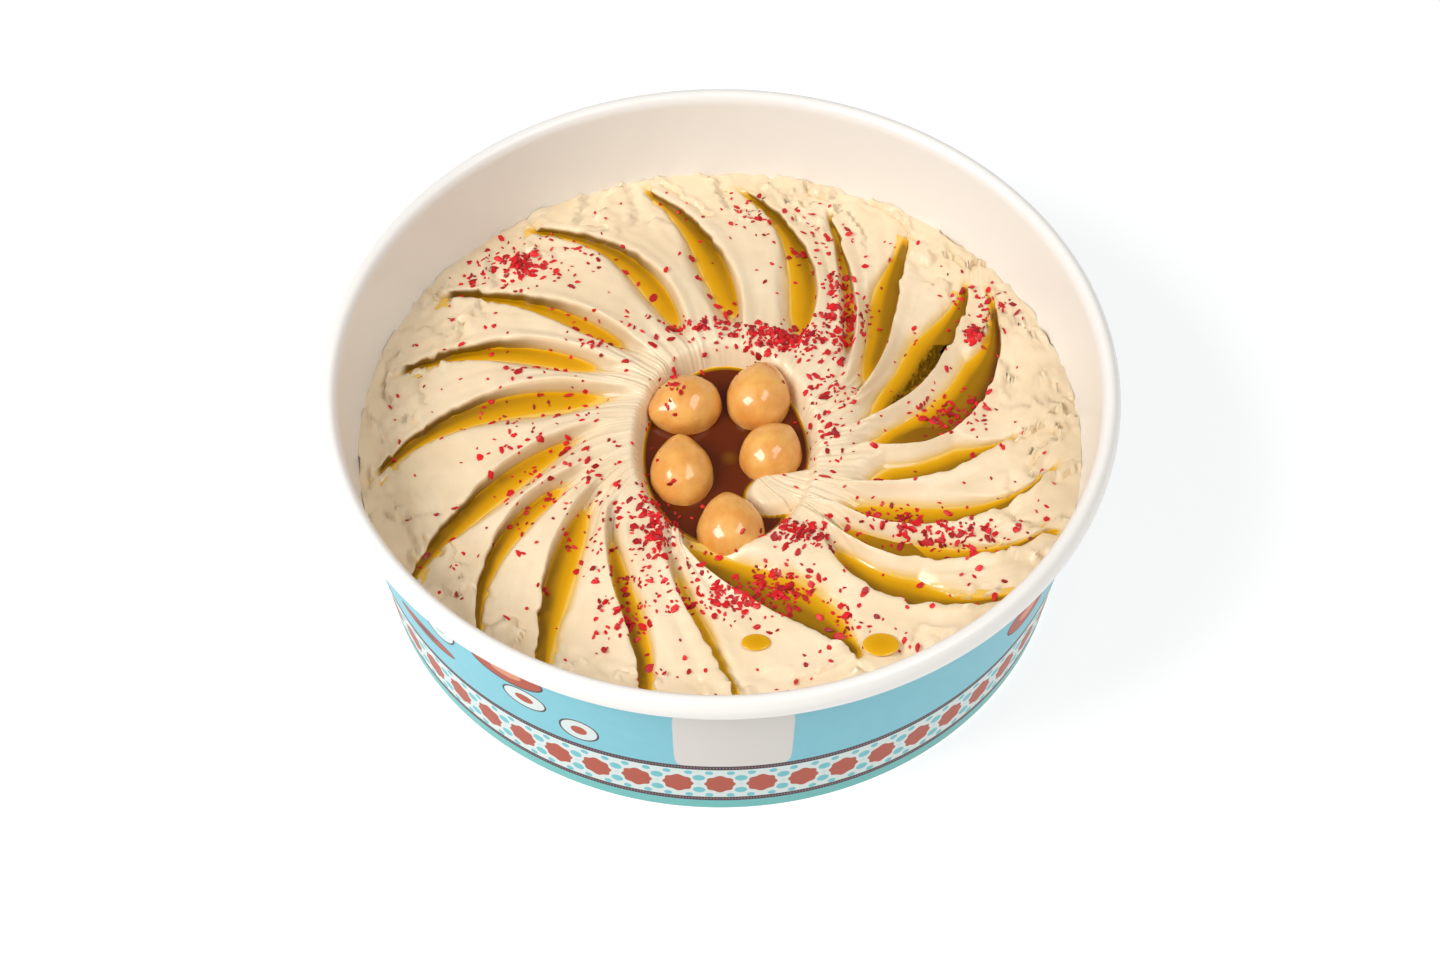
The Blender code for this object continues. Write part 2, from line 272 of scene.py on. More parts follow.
# The blank plate at the front, and plain motifs beside it.
color = printed_board.blend(shape(2.0, 28.0, 10.9, 11.0, power=8.0), color, (218, 212, 205))
for bearing, middle, half_width, half_height, outer, inner in (
        (-22.0, 23.5, 3.6, 3.4, PALE, TERRACOTTA),
        (-31.0, 27.5, 4.3, 3.0, PALE, TERRACOTTA),
        (-33.5, 35.0, 7.5, 3.6, TERRACOTTA, PEACH),
        (-47.0, 34.0, 3.8, 4.2, PALE, SEA_GREEN),
        (-52.0, 25.0, 8.0, 1.5, TERRACOTTA, MAROON),
        (-66.0, 30.0, 4.5, 4.5, PALE, TERRACOTTA),
        (55.0, 28.0, 6.0, 4.2, TERRACOTTA, PEACH),
        (70.0, 33.0, 3.6, 3.8, PALE, TERRACOTTA),
        (84.0, 26.0, 4.2, 3.4, PALE, SEA_GREEN)):
    color = printed_board.blend(shape(bearing, middle, half_width + 0.4, half_height + 0.4), color, MAROON)
    color = printed_board.blend(shape(bearing, middle, half_width, half_height), color, outer)
    color = printed_board.blend(shape(bearing, middle, half_width * 0.45, half_height * 0.45), color, inner)
# The border: rosettes with paired dots between them, on a pale band between stitched lines.
color = printed_board.blend(stripe(BAND_FOOT - 0.3, BAND_TOP + 0.6), color, PALE)
along = (around * (ROSETTES / 360.0) + 0.5).math("FRACT", around * (ROSETTES / 360.0) + 0.5)
along = (along - 0.5) * ROSETTE_PITCH
up = height - (BAND_TOP + BAND_FOOT) / 2
beside = ROSETTE_PITCH / 2 - abs(along)
petals = (up.math("ARCTAN2", up, along) * 8.0).math("COSINE", up.math("ARCTAN2", up, along) * 8.0)
rosette = ((along / 2.75) ** 2.0 + (up / 3.3) ** 2.0) ** 0.5 - 0.06 * petals
color = printed_board.blend(inked(rosette * 3.0, 3.0), color, TERRACOTTA)
dots = (beside ** 2.0 + (abs(up) - 2.5) ** 2.0) ** 0.5
color = printed_board.blend(inked(dots, 1.15), color, DOT_BLUE)
dabs = ((beside - 1.9) ** 2.0 + (abs(up) - 4.6) ** 2.0) ** 0.5
color = printed_board.blend(inked(dabs, 0.75), color, DOT_BLUE)
heart = (beside ** 2.0 + up ** 2.0) ** 0.5
color = printed_board.blend(inked(heart, 0.5), color, (200, 222, 222))
stitch = (around * 2.0).math("FRACT", around * 2.0)
stitched = inked(abs(stitch - 0.5) * 1.2, 0.34)
for middle in (17.0, 4.2):
    color = printed_board.blend(stripe(middle - 0.75, middle + 0.75), color, MAROON)
    color = printed_board.blend(stripe(middle - 0.2, middle + 0.2) * (1.0 - stitched), color, (150, 112, 118))
color = printed_board.blend(stripe(-2.0, FOOT_STRIPE_TOP), color, TURQUOISE)
# Above the print the board is bare up to the bead.
color = printed_board.blend(height.eased(PRINT_TOP - 0.05, PRINT_TOP + 0.05), color, BARE_BOARD)
printed_board.feed("Base Color", color)
printed_board.feed("Roughness", 0.36 + 0.1 * printed_board.cloud(2.0, detail=3.0))
printed_board.bump(printed_board.cloud(1.2, detail=3.0), 0.012)

outside = [(FOOT_RADIUS + LEAN * FOLD, FOLD)]
hem_inside = wall_inside(0.0) - SLOT - BOARD
hem_lean = LEAN * HEM_HEIGHT
outline = bead_arc(inset=0.0) + bead_arc(inset=BOARD)[::-1] + outside + [
    (FOOT_RADIUS - FOLD, 0.0), (hem_inside + FOLD, 0.0), (hem_inside, FOLD),
    (hem_inside + hem_lean, HEM_HEIGHT), (hem_inside + BOARD + hem_lean, HEM_HEIGHT),
    (hem_inside + BOARD, BOARD), (wall_inside(BOARD), BOARD)]
board = bmesh.new()
corners = [board.verts.new((radius, 0.0, height)) for radius, height in outline]
edges = [board.edges.new((corner, corners[index - 1])) for index, corner in enumerate(corners)]
bmesh.ops.spin(board, geom=corners + edges, cent=(0, 0, 0), axis=(0, 0, 1), angle=math.tau,
               steps=ROUND_STEPS, use_merge=True)
bmesh.ops.remove_doubles(board, verts=board.verts, dist=0.01 * MM)
bmesh.ops.recalc_face_normals(board, faces=board.faces)
for face in board.faces:
    middle = face.calc_center_median()
    on_outer_face = abs(math.hypot(middle.x, middle.y) - FOOT_RADIUS - LEAN * middle.z) < 0.15 * MM
    face.material_index = 1 if on_outer_face and face.normal.xy.dot(middle.xy) > 0 else 0
tub_wall = finished("side_board", board, white_board, printed_board)
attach(tub_wall, "root")
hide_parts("tub_wall")


# ---- Bottom disc -----------------------------------------------------------------------------
# A flat disc of the same board with a skirt that hangs in the fold of the side board, where it
# is glued. It stays as built and takes the finish of the bare board.

disc = frame["nodes"]["tub_base"]
disc.data.materials.clear()
disc.data.materials.append(white_board.material)


# ---- Hummus ----------------------------------------------------------------------------------
# A smooth paste of chickpeas and sesame, filled into the tub and drawn by a spoon from the wall
# to a ring round the middle, in twenty strokes that turn like a pinwheel. Each stroke leaves a
# crescent groove and a broad petal, which ends in a steep, torn lip over the next groove.

WALL_LEVEL = 27.8                   # heights, radii and widths here are in millimetres
RING_LEVEL = 30.6
RING_RADIUS = 27.0
WELL_FLOOR = 19.5
WELL_CENTRE = Vector((1.1, -1.9))
WELL_HALF_WIDTH = 15.5
WELL_HALF_LENGTH = 21.5
TONGUE_TIP = Vector((9.5, -11.8))
TONGUE_ROOT = Vector((22.0, -9.5))
TONGUE_HALF_WIDTH = 4.8
TONGUE_LEVEL = 28.5
OUTER_STATION = 62.0
INNER_STATION = 30.0
LIP = 1.9                           # from a groove's line back to the lip that stands over it
CLIFF_FOOT = 0.5
LIP_RISE = 0.6
GROOVE_SLOPE = 0.035                # a groove's floor falls toward the wall
# Bearings are in degrees, at the wall and at the ring, and bow is how far a groove bends between.
Stroke = namedtuple("Stroke", "wall ring bow outer inner wide floor oil",
                    defaults=(0.0, 66.0, 22.0, 6.0, 25.9, 1.8))
STROKES = (
    Stroke(-176, -202, bow=-2, outer=67, inner=14, wide=9.5),
    Stroke(-153, -178, bow=1, outer=69, inner=18, wide=8),
    Stroke(-136, -160, bow=-3, outer=69, wide=5, oil=1.7),
    Stroke(-122, -147, bow=1, outer=69, inner=20, wide=8.5, oil=1.9),
    Stroke(-103, -132, bow=6, outer=68, wide=6),
    Stroke(-86, -107, bow=3, outer=62, wide=3.5, floor=27.2, oil=0.7),
    Stroke(-62, -96, bow=8, outer=58, inner=19, wide=19, floor=25.0, oil=2.8),
    Stroke(-38, -49, bow=-7, outer=67, inner=26, wide=11, oil=2.0),
    Stroke(-23, -43, bow=-5, outer=68, wide=8),
    Stroke(-8, -34, bow=-5, outer=65, inner=20, wide=9, oil=1.9),
    Stroke(6, -20, bow=-1, outer=57, inner=24, wide=11, floor=25.7, oil=2.2),
    Stroke(30, -2, bow=-9, outer=65, wide=23, floor=24.5, oil=3.3),
    Stroke(39, 12, bow=-1, outer=63, wide=14, floor=25.2, oil=2.6),
    Stroke(54, 26, bow=3.5, outer=64, inner=24, wide=9, floor=25.6, oil=2.3),
    Stroke(70, 38, bow=3, outer=63, inner=24, wide=3, floor=27.0, oil=0.6),
    Stroke(84, 59.5, bow=-4, outer=65, wide=8),
    Stroke(100.5, 84.5, bow=-2, outer=67, wide=8),
    Stroke(122, 106, bow=-4.5, outer=67, inner=20, wide=6, oil=1.7),
    Stroke(144.5, 128.5, bow=-2, outer=66, inner=20, wide=4.5, oil=1.5),
    Stroke(163.5, 143, bow=-3, outer=65, inner=20, wide=6.5, oil=1.6),
)
PETAL_COLUMNS = 20
CLIFF_COLUMNS = 9
FLOOR_COLUMNS = 3
COLUMNS_PER_STROKE = PETAL_COLUMNS + CLIFF_COLUMNS + FLOOR_COLUMNS
HUMMUS_ROWS = 126
SIDE_GAP = 0.03                     # left between the paste and the board
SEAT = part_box("tub_base")[1].z / MM + 0.05
EDGE_RADIUS = wall_inside(WALL_LEVEL * MM) / MM - SIDE_GAP
SIDE_HEIGHTS = (SEAT, SEAT, 14.0, 22.0)
EDGE_ROWS = len(SIDE_HEIGHTS)


def eased(value):
    value = min(max(value, 0.0), 1.0)
    return value * value * (3.0 - 2.0 * value)


def stroke_bearing(stroke, radius):
    """Bearing of a groove's line at a radius, in degrees."""
    travel = (radius - INNER_STATION) / (OUTER_STATION - INNER_STATION)
    travel = min(max(travel, -0.5), 1.15)
    middle = 4.0 * travel * (1.0 - travel)
    return stroke.ring + (stroke.wall - stroke.ring) * travel + stroke.bow * max(middle, -0.3)


def after(index):
    return STROKES[(index + 1) % len(STROKES)]


def pitch(index, radius):
    """Distance round to the next groove's line."""
    turn = (stroke_bearing(after(index), radius) - stroke_bearing(STROKES[index], radius)) % 360.0
    return max(math.radians(turn) * radius, 0.01)


def groove_depth(stroke, radius, level):
    """Depth of a groove's floor under the untouched level; it runs out at both ends."""
    travel = (radius - stroke.inner) / (stroke.outer - stroke.inner)
    floor = stroke.floor - GROOVE_SLOPE * (radius - 46.0)
    return max(level - floor, 0.0) * eased(travel / 0.32) * eased((1.0 - travel) / 0.1)


def groove_width(stroke, radius):
    travel = (radius - stroke.inner) / (stroke.outer - stroke.inner)
    return stroke.wide * (0.3 + 0.7 * eased(travel / 0.45)) * (0.08 + 0.92 * eased((1.0 - travel) / 0.6))


def untouched_level(x, y):
    """Height before the strokes: a low dome with a ring and a well at its middle."""
    radius = math.hypot(x, y)
    fall = min(max(radius - RING_RADIUS, 0.0) / (EDGE_RADIUS - RING_RADIUS), 1.0)
    level = WALL_LEVEL + (RING_LEVEL - WALL_LEVEL) * math.cos(math.pi / 2 * fall)
    reach = math.hypot((x - WELL_CENTRE.x) / WELL_HALF_WIDTH, (y - WELL_CENTRE.y) / WELL_HALF_LENGTH)
    level = WELL_FLOOR + (level - WELL_FLOOR) * eased((reach - 0.82) / 0.36)
    along = TONGUE_ROOT - TONGUE_TIP
    share = min(max((Vector((x, y)) - TONGUE_TIP).dot(along) / along.length_squared, 0.0), 1.0)
    beside = (Vector((x, y)) - TONGUE_TIP - along * share).length / TONGUE_HALF_WIDTH
    return max(level, WELL_FLOOR + (TONGUE_LEVEL - WELL_FLOOR) * eased(1.6 - beside))


def drawn_level(radius, index, beyond):
    """Height of the smooth surface a distance beyond a groove's line, and its openness there."""
    bearing = math.radians(stroke_bearing(STROKES[index], radius)) + beyond / max(radius, 1.0)
    x = radius * math.cos(bearing)
    y = radius * math.sin(bearing)
    level = untouched_level(x, y)
    room = pitch(index, radius)
    before = room - beyond
    fall_next = groove_depth(after(index), radius, level)
    opened = eased(fall_next / 2.0)
    crest = eased(1.0 - abs(before - LIP) / 2.4) * opened * LIP_RISE
    if before >= LIP:
        width = max(min(groove_width(STROKES[index], radius), room - LIP), 0.1)
        valley = max(1.0 - (max(beyond, 0.0) / width) ** 2, 0.0) ** 1.25
        petal = max(1.0 - max(beyond, 0.0) / max(room - LIP, 0.1), 0.0) ** 1.2
        hollow = groove_depth(STROKES[index], radius, level) * (0.82 * valley + 0.18 * petal)
    else:
        hollow = fall_next * eased((LIP - before) / (LIP - CLIFF_FOOT))
    return x, y, level - hollow + crest, opened


def hummus_point(radius, index, column):
    """A point of the finished surface, how dark it is painted under a lip (oil stain and painted shade), and
    how wet it is.
    """
    room = pitch(index, radius)
    petal_room = max(room - LIP, 0.2 * room)
    if column < PETAL_COLUMNS:
        beyond = petal_room * column / PETAL_COLUMNS
    elif column < PETAL_COLUMNS + CLIFF_COLUMNS:
        beyond = room - LIP + (LIP - CLIFF_FOOT) * (column - PETAL_COLUMNS) / CLIFF_COLUMNS
    else:
        beyond = room - CLIFF_FOOT * (1.0 - (column - PETAL_COLUMNS - CLIFF_COLUMNS) / FLOOR_COLUMNS)
    beyond = max(beyond, petal_room * min(column / PETAL_COLUMNS, 1.0))
    x, y, level, opened = drawn_level(radius, index, beyond)
    before = room - beyond
    outer_half = eased((radius - 38.0) / 16.0)
    # The lip is torn: it leans over the groove by an amount that changes along it.
    torn = noise.noise(Vector((radius * 0.33, index * 7.3, 0.0)))
    torn += 0.45 * noise.noise(Vector((radius * 0.75, index * 3.1, 5.0)))
    near_lip = eased(1.0 - abs(before - LIP) / 1.7) * opened
    lean = near_lip * outer_half * (1.0 + 1.1 * torn)
    shift = lean / max(radius, 1.0)
    turned_x = x * math.cos(shift) - y * math.sin(shift)
    turned_y = x * math.sin(shift) + y * math.cos(shift)
    level += near_lip * outer_half * 0.5 * torn
    # Fine drag lines of the spoon run along the strokes and gather on the ring.
    ring = math.exp(-((radius - 25.0) / 7.0) ** 2)
    out_of_well = eased((level - WELL_FLOOR - 2.0) / 4.0)
    phase = (index + beyond / room) * 2.2
    drag = 0.6 * noise.noise(Vector((phase * 3.0, radius * 0.03, 1.0)))
    drag += 0.4 * noise.noise(Vector((phase * 7.0, radius * 0.05, 2.0)))
    level += (0.3 + 0.5 * ring) * drag * out_of_well
    # The whole surface is a little lumpy, and the band along the wall is left as filled.
    band = eased((radius - 52.0) / 7.0)
    place = Vector((turned_x, turned_y, 0.0))
    lumps = noise.noise(place * 0.15) + 0.5 * noise.noise(place * 0.4 + Vector((0.0, 0.0, 9.0)))
    level += (0.3 + 0.25 * band) * lumps * out_of_well
    # Flat scraps of paste lie on that band where the spoon was set down.
    scrap = noise.noise(place * 0.11 + Vector((4.0, 1.0, 3.0))) + 0.25 * noise.noise(place * 0.5)
    level += 1.6 * band * (eased((scrap - 0.02) / 0.06) - 0.5) * eased(1.0 - abs(scrap - 0.06) / 0.3)
    # Cliff faces under the lips, and the first columns at a groove's bottom, are darkened: partly oil stain,
    # partly painted shade of the overhang and the hollow.
    oil_stain_and_shade = eased((LIP - 0.1 - before) / 0.5) * opened * (0.4 + 0.6 * outer_half)
    if column < 2:
        oil_stain_and_shade = max(oil_stain_and_shade, (1.0 - column / 2.0) * eased(groove_depth(STROKES[index], radius, level) / 2.0))
    width = groove_width(STROKES[index], radius)
    wet = max(eased((1.35 * width - beyond) / (0.4 * width + 0.2)), eased((LIP + 0.2 - before) / 0.4))
    return Vector((turned_x, turned_y, level)) * MM, oil_stain_and_shade, wet


columns = len(STROKES) * COLUMNS_PER_STROKE
paste = bmesh.new()
bmesh.ops.create_grid(paste, x_segments=columns, y_segments=HUMMUS_ROWS, size=0.5)
film_layer = paste.verts.layers.float.new("film")
oil_stain_and_shade_layer = paste.verts.layers.float.new("oil_stain_and_shade")
for corner in paste.verts:
    index, column = divmod(round((corner.co.x + 0.5) * columns) % columns, COLUMNS_PER_STROKE)
    row = round((corner.co.y + 0.5) * HUMMUS_ROWS)
    if row >= EDGE_ROWS:
        inward = (row - EDGE_ROWS) / (HUMMUS_ROWS - EDGE_ROWS)
        radius = EDGE_RADIUS * (1.0 - inward ** 1.06)
        corner.co, corner[oil_stain_and_shade_layer], wet = hummus_point(radius, index, column)
        stroke = after(index) if column > PETAL_COLUMNS else STROKES[index]
        travel = (radius - stroke.inner) / (stroke.outer - stroke.inner)
        above = corner.co.z / MM - stroke.floor - stroke.oil
        in_groove = eased(travel / 0.12) * eased((1.02 - travel) / 0.06)
        corner[film_layer] = wet * eased(1.0 - above / 1.4) * in_groove
        continue
    height = SIDE_HEIGHTS[row]
    corner.co = hummus_point(wall_inside(height * MM) / MM - SIDE_GAP, index, column)[0]
    corner.co.z = height * MM
    if row == 0:
        corner.co = (0.0, 0.0, SEAT * MM)
bmesh.ops.remove_doubles(paste, verts=paste.verts, dist=0.004 * MM)
bmesh.ops.recalc_face_normals(paste, faces=paste.faces)

hummus_finish = Finish("hummus", (238, 214, 180), 0.45, Subsurface_Weight=0.12, Subsurface_Scale=0.002,
                       Coat_Roughness=0.2)
hummus_finish.shader.inputs["Subsurface Radius"].default_value = (1.0, 0.6, 0.35)
blots = hummus_finish.cloud(14.0, detail=3.0)
fine = hummus_finish.cloud(0.9, detail=3.0)
film = hummus_finish.node("ShaderNodeAttribute", {"attribute_name": "film"}, output="Fac")
oil_stain_and_shade = hummus_finish.node("ShaderNodeAttribute", {"attribute_name": "oil_stain_and_shade"}, output="Fac")
color = hummus_finish.blend(blots.eased(0.3, 0.7), (240, 218, 184), (233, 209, 171))
color = hummus_finish.blend(film * 0.85, color, (226, 180, 70))
# Painted shade with oil stain: cliffs under the lips and groove bottoms turn dark brown.
color = hummus_finish.blend(oil_stain_and_shade.eased(0.1, 1.0), color, (128, 92, 14))
hummus_finish.feed("Base Color", color)
hummus_finish.feed("Roughness", 0.5 - 0.14 * blots.eased(0.35, 0.65) - 0.2 * film)
hummus_finish.feed("Coat Weight", 0.15 + 0.6 * film)
hummus_finish.bump(fine, 0.03)
hummus = finished("hummus_paste", paste, hummus_finish, sharp=75.0)
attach(hummus, "root")
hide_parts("hummus")


# ---- Olive oil -------------------------------------------------------------------------------
# Golden oil poured over the hummus, which has run into the grooves and the well and lies level
# there. Thin oil shows the paste under it, and deep oil is brown; the well's oil is painted darker
# still, as painted shade of that hollow.

OIL_SHEET = 0.4                     # thickness of a pool's visible sheet
OIL_CREEP = 0.12                    # how far oil climbs where it meets the paste
oil_finish = Finish("olive_oil", (200, 150, 30), 0.05, IOR=1.47, Specular_IOR_Level=0.3)
depth = oil_finish.node("ShaderNodeAttribute", {"attribute_name": "depth"}, output="Fac")
color = oil_finish.blend(depth.eased(0.0, 0.35), (232, 188, 90), (222, 164, 16))
color = oil_finish.blend(depth.eased(0.3, 1.1), color, (204, 146, 0))
color = oil_finish.blend(depth.eased(1.0, 2.0), color, (150, 106, 2))
# The darkest brown is reached mostly in the well: deep oil with painted shade.
color = oil_finish.blend(depth.eased(2.4, 4.2), color, (96, 36, 4))
oil_finish.feed("Base Color", color)
oil_finish.feed("Roughness", 0.03 + 0.05 * oil_finish.cloud(6.0))


def pool(name, node, level, columns, rows, place, depth_and_shade_factor=1.0):
    """Oil that lies level over a patch; place gives a point's x and y and the paste's height.

    The depth and shade factor colours the oil as if it were that many times as deep as it is; above 1 it
    darkens the oil as painted shade.
    """
    sheet = bmesh.new()
    bmesh.ops.create_grid(sheet, x_segments=columns, y_segments=rows, size=0.5)
    deep = sheet.verts.layers.float.new("depth")
    for corner in sheet.verts:
        x, y, ground = place(corner.co.x + 0.5, corner.co.y + 0.5)
        corner[deep] = max(level - ground, 0.0) * depth_and_shade_factor
        corner.co = Vector((x, y, level + OIL_CREEP * math.exp(-corner[deep] / 0.25))) * MM
    bmesh.ops.remove_doubles(sheet, verts=sheet.verts, dist=0.004 * MM)
    top = list(sheet.faces)
    bmesh.ops.recalc_face_normals(sheet, faces=top)
    if sum(face.normal.z for face in top) < 0:
        bmesh.ops.reverse_faces(sheet, faces=top)
    under = bmesh.ops.extrude_face_region(sheet, geom=top, use_keep_orig=True)
    lowered = [item for item in under["geom"] if isinstance(item, bmesh.types.BMVert)]
    bmesh.ops.translate(sheet, verts=lowered, vec=(0.0, 0.0, -OIL_SHEET * MM))
    bmesh.ops.recalc_face_normals(sheet, faces=sheet.faces)
    piece = finished(name, sheet, oil_finish, sharp=75.0)
    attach(piece, "root")
    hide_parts(node)


for index, stroke in enumerate(STROKES):
    def groove_place(along, across, index=index, stroke=stroke):
        radius = stroke.inner + 5.5 + (stroke.outer - 1.0 - stroke.inner - 5.5) * along
        beyond = (across * 1.25 - 0.25) * (max(groove_width(stroke, radius), 1.0) + LIP)
        beyond = max(beyond, -LIP - 0.2)
        if beyond < 0:
            earlier = index - 1
            return drawn_level(radius, earlier % len(STROKES), pitch(earlier, radius) + beyond)[:3]
        return drawn_level(radius, index, beyond)[:3]

    pool(f"groove_oil_{index + 1:02d}", f"oil_{index + 1:02d}", stroke.floor + stroke.oil, 64, 20,
         groove_place)

# Two small puddles have stayed on the paste between the strokes.
Puddle = namedtuple("Puddle", "x y half_length half_width")
for number, (x, y, half_length, half_width) in enumerate((Puddle(6.6, -48.4, 2.7, 1.9),
                                                          Puddle(29.5, -48.5, 3.4, 2.6)), start=1):
    radius = math.hypot(x, y)
    bearing = math.degrees(math.atan2(y, x))
    turned = [(bearing - stroke_bearing(stroke, radius)) % 360.0 for stroke in STROKES]
    nearest = turned.index(min(turned))
    ground = drawn_level(radius, nearest, math.radians(turned[nearest]) * radius)[2]
    puddle = bmesh.new()
    bmesh.ops.create_uvsphere(puddle, u_segments=28, v_segments=12, radius=1.0)
    deep = puddle.verts.layers.float.new("depth")
    for corner in puddle.verts:
        corner[deep] = 0.9 * max(corner.co.z, 0.0)
        corner.co = Vector((x + half_length * corner.co.x, y + half_width * corner.co.y,
                            ground + 0.25 + 0.4 * corner.co.z)) * MM
    piece = finished(f"oil_puddle_{number}", puddle, oil_finish)
    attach(piece, "root")

WELL_OIL_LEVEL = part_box("oil_well")[1].z / MM
SUNK_PEA = Vector((1.8, -2.4))
SUNK_PEA_RADIUS = 5.2


def well_place(around, outward):
    reach = 1.2 * (1.0 - outward)
    x = WELL_CENTRE.x + WELL_HALF_WIDTH * reach * math.cos(math.tau * around)
    y = WELL_CENTRE.y + WELL_HALF_LENGTH * reach * math.sin(math.tau * around)
    # One more pea is sunk in the oil.
    sunk = max(1.0 - (Vector((x, y)) - SUNK_PEA).length_squared / SUNK_PEA_RADIUS ** 2, 0.0)
    return x, y, max(untouched_level(x, y), WELL_OIL_LEVEL - 5.0 + 3.4 * math.sqrt(sunk))


# The well's oil is coloured 2.2 times as deep as it is: deep oil, and painted shade of the hollow under the
# peas.
pool("well_oil", "oil_well", WELL_OIL_LEVEL, 96, 40, well_place, depth_and_shade_factor=2.2)


# ---- Chickpeas -------------------------------------------------------------------------------
# Five whole cooked chickpeas, wet with oil. Each is a round seed in a thin skin, with a beak at
# one end, a crease that runs down from it, and a slightly lumpy back.

pea_finish = Finish("chickpea_skin", (236, 180, 110), 0.3, Subsurface_Weight=0.15, Subsurface_Scale=0.0015,
                    Coat_Roughness=0.06, IOR=1.45)
pea_finish.shader.inputs["Subsurface Radius"].default_value = (1.0, 0.5, 0.2)
mottle = pea_finish.cloud(4.0, detail=3.0)
color = pea_finish.blend(mottle.eased(0.3, 0.7), (238, 178, 92), (226, 152, 66))
color = pea_finish.blend(pea_finish.cloud(1.2, detail=3.0).eased(0.62, 0.8) * 0.5, color, (200, 124, 44))
pea_finish.feed("Base Color", color)
pea_finish.feed("Roughness", 0.24 + 0.2 * pea_finish.cloud(1.5, detail=3.0))
pea_finish.feed("Coat Weight", 0.55 + 0.4 * mottle)
pea_finish.bump(pea_finish.cloud(0.8, detail=3.0), 0.05)
Pea = namedtuple("Pea", "turn tilt size length")
for number, pea in enumerate((Pea(200, 10, 6.2, 6.8), Pea(80, 20, 6.1, 6.8), Pea(95, 12, 6.0, 7.3),
                              Pea(60, 15, 5.9, 6.2), Pea(100, 25, 6.4, 7.0)), start=1):
    low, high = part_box(f"chickpea_{number}")
    seed = bmesh.new()
    bmesh.ops.create_uvsphere(seed, u_segments=56, v_segments=36, radius=1.0)
    turn = Euler((0.0, math.radians(90.0 - pea.tilt), math.radians(pea.turn))).to_matrix()
    for corner in seed.verts:
        way = corner.co.normalized()
        beak = max(way.z, 0.0) ** 7 * 1.0
        crease = math.exp(-(way.y / 0.16) ** 2) * eased(way.x) * eased(way.z + 0.9) * 0.5
        lobe = 0.16 * abs(way.y) * max(way.x, 0.0)
        lumps = 0.22 * noise.noise(way * 2.1 + Vector((number * 9.0, 0.0, 0.0)))
        lumps += 0.07 * noise.noise(way * 6.0 + Vector((number * 5.0, 3.0, 0.0)))
        size = pea.size - crease + lobe + lumps
        corner.co = turn @ Vector((way.x * size, way.y * size, way.z * (pea.length + lumps) + beak)) * MM
    middle = (low + high) / 2
    found_low = Vector([min(corner.co[axis] for corner in seed.verts) for axis in range(3)])
    found_high = Vector([max(corner.co[axis] for corner in seed.verts) for axis in range(3)])
    bmesh.ops.translate(seed, verts=seed.verts, vec=middle - (found_low + found_high) / 2)
    piece = finished(f"whole_chickpea_{number}", seed, pea_finish, sharp=80.0)
    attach(piece, "root")
    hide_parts(f"chickpea_{number}")


# ---- Sumac -----------------------------------------------------------------------------------
# Coarse red spice flakes, thrown on by hand: thick in a few places round the ring and thin along
# the wall. Each flake is an irregular chip, most about a millimetre long and none over 2.2.

chance = random.Random(7)
sumac_finish = Finish("sumac", (190, 20, 36), 0.5)
flake_tone = sumac_finish.node("ShaderNodeAttribute", {"attribute_name": "tone"}, output="Fac")
color = sumac_finish.blend(flake_tone.eased(0.0, 0.5), (150, 2, 10), (206, 2, 16))
sumac_finish.feed("Base Color", sumac_finish.blend(flake_tone.eased(0.6, 1.0), color, (228, 12, 26)))
sumac_finish.feed("Roughness", 0.35 + 0.3 * sumac_finish.cloud(0.6))
surfaces = []
for piece in list(bpy.context.scene.objects):
    if piece.name in ("hummus_paste", "well_oil") or piece.name.startswith(("groove_oil", "whole_chickpea")):
        mesh = piece.data
        surfaces.append(BVHTree.FromPolygons([corner.co for corner in mesh.vertices],
                                             [face.vertices for face in mesh.polygons]))


def top_surface(x, y):
    """The highest point under x, y and the way it faces."""
    best = None
    for surface in surfaces:
        spot, facing = surface.ray_cast(Vector((x, y, 0.1)), Vector((0.0, 0.0, -1.0)))[:2]
        if spot and (best is None or spot.z > best[0].z):
            best = spot, facing
    return best


Heap = namedtuple("Heap", "x y spread_x spread_y flakes")
HEAPS = (
    Heap(13, 23, 3.6, 2.0, 180), Heap(24, 29, 3.0, 3.6, 135), Heap(23, 37, 2.0, 4.0, 45),
    Heap(8, 25, 7.0, 1.6, 90), Heap(-4, 27, 6.0, 2.0, 68), Heap(49, 26, 0.9, 1.1, 66),
    Heap(54, 34, 4.5, 2.5, 63), Heap(-39, 44, 1.2, 1.3, 75), Heap(-44, 45, 4.5, 3.5, 90),
    Heap(-33, 43, 5.0, 3.0, 45), Heap(-25, 22, 2.0, 1.2, 24), Heap(42, -23, 7.0, 2.0, 135),
    Heap(33, -19, 5.0, 2.5, 105), Heap(44, 6, 4.5, 3.0, 90), Heap(15, -24, 3.0, 1.8, 105),
    Heap(4, -38, 7.5, 2.6, 225), Heap(11, -33, 4.0, 3.0, 60), Heap(-12, -23, 2.0, 4.5, 135),
    Heap(-17, -38, 3.5, 6.0, 90), Heap(21, 8, 2.5, 8.0, 90), Heap(-9, 10, 1.2, 3.0, 21),
    Heap(-19, -17, 7.0, 5.0, 68), Heap(23, -43, 3.0, 4.0, 45), Heap(5, 57, 2.5, 3.0, 30),
    Heap(18, 50, 3.0, 6.0, 36), Heap(-30, -8, 9.0, 8.0, 68), Heap(-36, 5, 8.0, 8.0, 36),
)
LOOSE_FLAKES = 480
LOOSE_REACH = 64.0
FARTHEST_FLAKE = 67.0
spots = []
for heap in HEAPS:
    for _ in range(heap.flakes):
        spots.append((chance.gauss(heap.x, heap.spread_x), chance.gauss(heap.y, heap.spread_y)))
for _ in range(LOOSE_FLAKES):
    bearing = chance.uniform(0.0, math.tau)
    reach = LOOSE_REACH * math.sqrt(chance.uniform(0.05, 1.0))
    spots.append((reach * math.cos(bearing), reach * math.sin(bearing)))
flakes = bmesh.new()
tone_layer = flakes.verts.layers.float.new("tone")
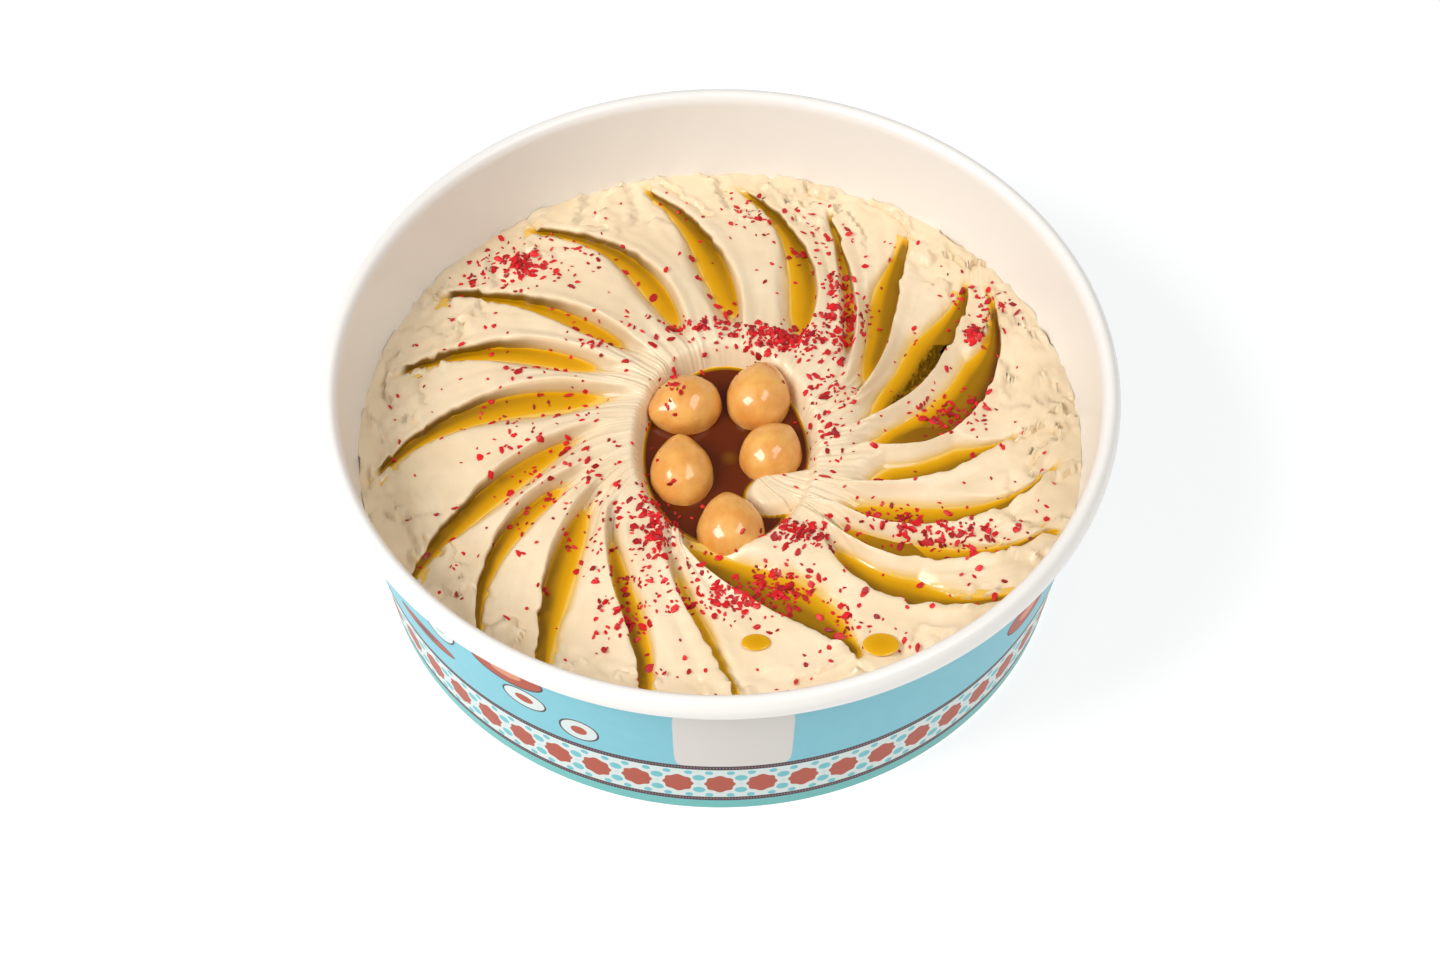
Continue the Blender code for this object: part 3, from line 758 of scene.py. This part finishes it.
for x, y in spots:
    landing = top_surface(x * MM, y * MM)
    if landing is None or math.hypot(x, y) > FARTHEST_FLAKE:
        continue
    spot, facing = landing
    length = min(0.7 + chance.expovariate(1.9), 2.2) * MM
    size = Vector((length, length * chance.uniform(0.4, 0.75), length * chance.uniform(0.2, 0.4))) / 2
    lying = facing.to_track_quat("Z", "Y").to_matrix()
    spun = Euler((chance.gauss(0, 0.3), chance.gauss(0, 0.3), chance.uniform(0, math.tau))).to_matrix()
    chip = bmesh.ops.create_icosphere(flakes, subdivisions=1, radius=1.0)["verts"]
    tone_here = chance.random()
    for corner in chip:
        rough = Vector([value * chance.uniform(0.7, 1.3) for value in corner.co])
        corner.co = spot + lying @ (spun @ (rough * size) + Vector((0.0, 0.0, size.z * 0.5)))
        corner[tone_layer] = tone_here
sumac = finished("sumac_flakes", flakes, sumac_finish, sharp=30.0)
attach(sumac, "root")


# ---- Floor, light and camera -----------------------------------------------------------------
# A pale floor that glows faintly, a broad soft light in front to the left, a weaker one in front to
# the right, and white all round. The camera looks down at the tub from the front.

floor_builder = bmesh.new()
bmesh.ops.create_grid(floor_builder, x_segments=1, y_segments=1, size=3.0)
floor_finish = Finish("floor", (176, 176, 176), 0.8)
floor_finish.shader.inputs["Emission Color"].default_value = (1.0, 1.0, 1.0, 1.0)
floor_finish.shader.inputs["Emission Strength"].default_value = 0.66
floor = finished("floor", floor_builder, floor_finish)


def lamp(name, place, size, watts):
    """A square soft light that faces the tub."""
    light = bpy.data.lights.new(name, "AREA")
    light.shape = "SQUARE"
    light.size = size
    light.energy = watts
    holder = bpy.data.objects.new(name, light)
    holder.location = place
    holder.rotation_euler = (Vector((0.0, 0.0, 0.02)) - Vector(place)).to_track_quat("-Z", "Y").to_euler()
    bpy.context.collection.objects.link(holder)


lamp("left_light", (-0.7, -0.35, 0.8), 0.5, 9.5)
lamp("right_light", (0.55, -0.3, 1.1), 0.6, 5.5)
world = bpy.data.worlds.new("studio")
world.use_nodes = True
world.node_tree.nodes["Background"].inputs["Color"].default_value = (1.0, 1.0, 1.0, 1.0)
world.node_tree.nodes["Background"].inputs["Strength"].default_value = 0.3
bpy.context.scene.world = world
bpy.context.scene.view_settings.view_transform = "Standard"

CAMERA_ELEVATION = math.radians(52.0)
CAMERA_DISTANCE = 0.842
TARGET = Vector((0.0, 0.0, 0.0147))
camera_data = bpy.data.cameras.new("camera")
camera_data.sensor_width = 36.0
camera_data.lens = 109.3
camera = bpy.data.objects.new("camera", camera_data)
back = Vector((0.0, -math.cos(CAMERA_ELEVATION), math.sin(CAMERA_ELEVATION)))
camera.location = TARGET + back * CAMERA_DISTANCE
camera.rotation_euler = back.to_track_quat("Z", "Y").to_euler()
bpy.context.collection.objects.link(camera)
bpy.context.scene.camera = camera
